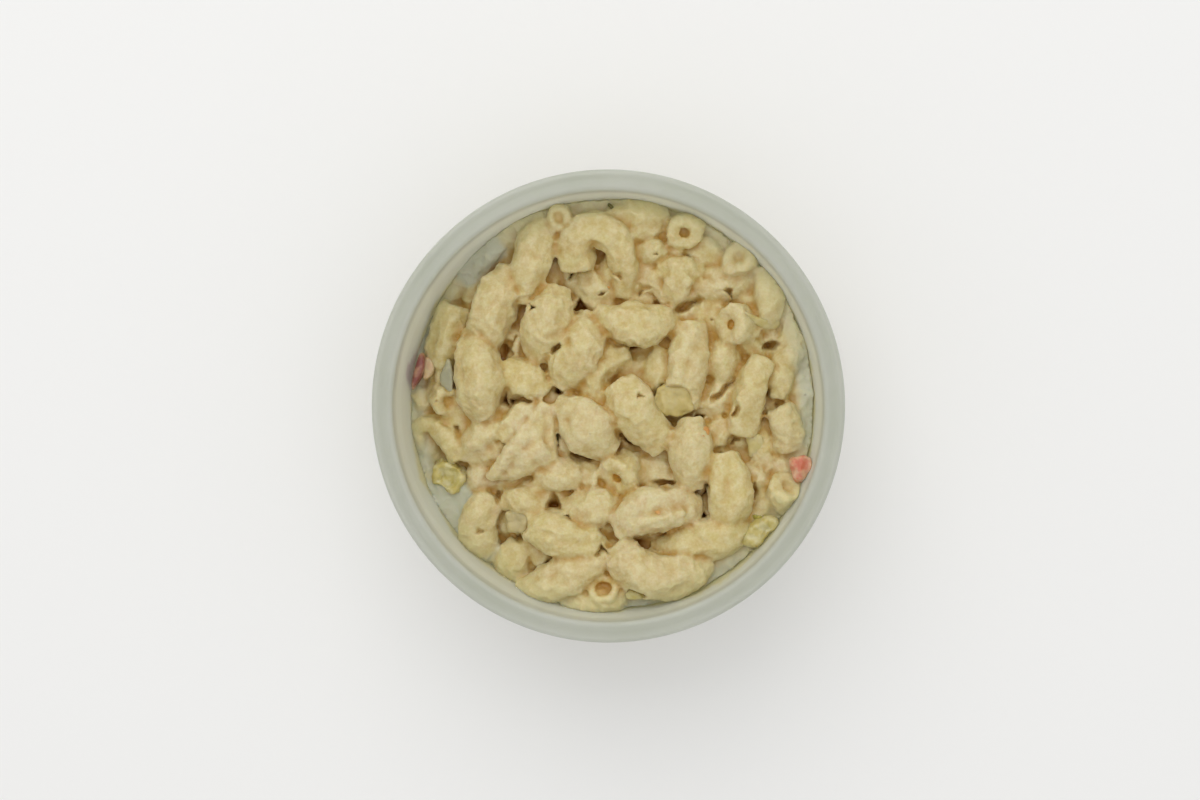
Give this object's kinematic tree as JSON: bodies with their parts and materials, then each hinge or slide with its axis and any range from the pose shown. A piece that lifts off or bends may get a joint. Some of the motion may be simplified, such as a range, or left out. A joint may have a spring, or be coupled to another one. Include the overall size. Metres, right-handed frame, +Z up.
{
  "type": "tub of macaroni salad",
  "caption": "Round frosted plastic tub with a rolled rim, filled almost to the brim with creamy elbow macaroni salad and bits of vegetable.",
  "frame": {"origin": "middle of the ring that the tub stands on, on the surface under it", "axes": "+Z up along the tub's axis. +X is the picture's right and +Y its top, as seen from above"},
  "size_m": [0.117, 0.117, 0.06],
  "materials": {
    "frosted_plastic": "thin translucent polypropylene, frosted",
    "dressed_macaroni": "cooked pasta coated in creamy dressing, satin",
    "celery": "raw celery, moist",
    "red_pepper": "raw red pepper, moist",
    "red_onion": "raw red onion, moist"
  },
  "bodies": {
    "root": {"tub": "frosted_plastic", "macaroni_heap": "dressed_macaroni", "celery_chunk_right": "celery", "celery_chunk_left": "celery", "celery_slice_middle": "celery", "celery_strip_far": "celery", "celery_bit_near": "celery", "red_pepper_dice": "red_pepper", "red_onion_sliver": "red_onion"}
  },
  "joints": []
}
